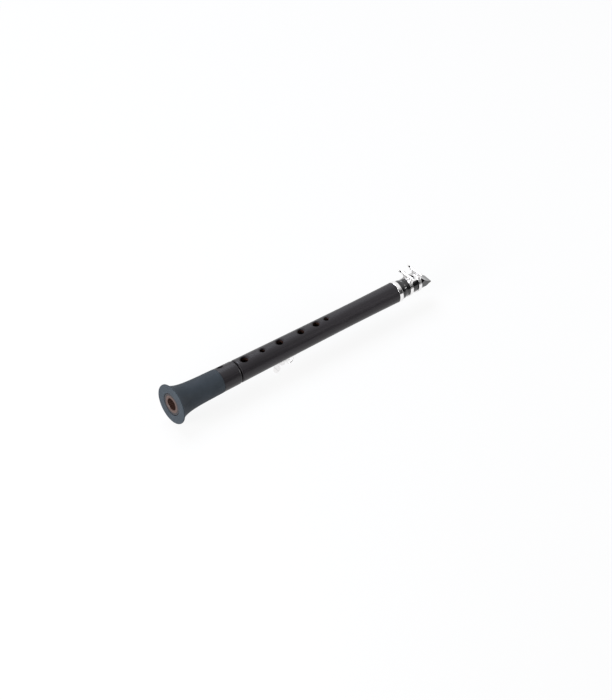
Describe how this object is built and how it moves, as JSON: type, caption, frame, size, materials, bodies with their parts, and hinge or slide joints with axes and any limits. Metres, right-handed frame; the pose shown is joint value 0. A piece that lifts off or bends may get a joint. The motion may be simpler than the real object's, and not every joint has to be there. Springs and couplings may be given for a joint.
{
  "type": "pocket clarinet",
  "caption": "Small keyless clarinet with a stained wooden body, turning foot, rubber bell sleeve, beaked mouthpiece, cane reed, wing-screw ligature and sliding thumb rest.",
  "frame": {"origin": "under the middle of the box, on the surface that the clarinet lies on", "axes": "+X along the bore from the bell to the mouthpiece's tip, +Z out of the front tone holes"},
  "size_m": [0.37, 0.049, 0.054],
  "materials": {
    "bell_sleeve": "matte moulded rubber",
    "foot_joint": "black stained, satin oil",
    "main_body": "black stained, satin oil",
    "tenon_cork": "sanded cork",
    "mouthpiece_cork": "sanded cork",
    "mouthpiece": "polished ebonite",
    "reed": "bare cane",
    "socket_ring": "polished plate",
    "ligature_bands": "polished plate",
    "ligature_post_rear_near": "polished plate",
    "ligature_post_rear_far": "polished plate",
    "ligature_post_front_near": "polished plate",
    "ligature_post_front_far": "polished plate",
    "ligature_screw_rear": "polished plate",
    "ligature_screw_front": "polished plate",
    "thumb_plate": "polished plate",
    "thumb_slide": "polished plate",
    "thumb_hook": "polished plate",
    "lock_screw": "polished plate",
    "strap_ring": "polished plate",
    "plate_screw_1": "turned steel",
    "plate_screw_2": "turned steel",
    "plate_screw_3": "turned steel"
  },
  "bodies": {
    "main": {"main_body": "main_body", "socket_ring": "socket_ring", "tenon_cork": "tenon_cork", "thumb_plate": "thumb_plate", "plate_screw_1": "plate_screw_1", "plate_screw_2": "plate_screw_2", "plate_screw_3": "plate_screw_3"},
    "foot": {"foot_joint": "foot_joint"},
    "bell": {"bell_sleeve": "bell_sleeve"},
    "mouthpiece_body": {"mouthpiece": "mouthpiece", "mouthpiece_cork": "mouthpiece_cork"},
    "reed_body": {"reed": "reed"},
    "ligature": {"ligature_bands": "ligature_bands", "ligature_post_rear_near": "ligature_post_rear_near", "ligature_post_rear_far": "ligature_post_rear_far", "ligature_post_front_near": "ligature_post_front_near", "ligature_post_front_far": "ligature_post_front_far"},
    "rear_screw": {"ligature_screw_rear": "ligature_screw_rear"},
    "front_screw": {"ligature_screw_front": "ligature_screw_front"},
    "rest_slide": {"thumb_slide": "thumb_slide", "thumb_hook": "thumb_hook"},
    "lock": {"lock_screw": "lock_screw"},
    "ring": {"strap_ring": "strap_ring"}
  },
  "joints": [
    {"name": "foot_turn", "type": "hinge", "parent": "main", "child": "foot", "pos_m": [-0.0936, 0, 0.0295], "axis": [1, 0, 0], "continuous": true},
    {"name": "bell_pull", "type": "slide", "parent": "foot", "child": "bell", "axis": [-1, 0, 0], "range_m": [0, 0.0655]},
    {"name": "mouthpiece_pull", "type": "slide", "parent": "main", "child": "mouthpiece_body", "axis": [1, 0, 0], "range_m": [0, 0.014]},
    {"name": "ligature_slide", "type": "slide", "parent": "mouthpiece_body", "child": "ligature", "axis": [1, 0, 0], "range_m": [0, 0.04]},
    {"name": "reed_slide", "type": "slide", "parent": "mouthpiece_body", "child": "reed_body", "axis": [0.995, 0, 0.0995], "range_m": [0, 0.04]},
    {"name": "rear_screw_turn", "type": "hinge", "parent": "ligature", "child": "rear_screw", "pos_m": [0.15616, 0.00118, 0.04275], "axis": [0, 0.9962, -0.0872], "continuous": true},
    {"name": "front_screw_turn", "type": "hinge", "parent": "ligature", "child": "front_screw", "pos_m": [0.16846, 0.00118, 0.04275], "axis": [0, 0.9962, -0.0872], "continuous": true},
    {"name": "rest_slide_travel", "type": "slide", "parent": "main", "child": "rest_slide", "axis": [1, 0, 0], "range_m": [-0.006, 0.005]},
    {"name": "lock_screw_turn", "type": "hinge", "parent": "rest_slide", "child": "lock", "pos_m": [-0.0278, 0, 0.01218], "axis": [0, 0, 1], "continuous": true},
    {"name": "strap_ring_swing", "type": "hinge", "parent": "rest_slide", "child": "ring", "pos_m": [-0.02, 0, 0.01008], "axis": [1, 0, 0], "range_deg": [-25, 25]}
  ]
}
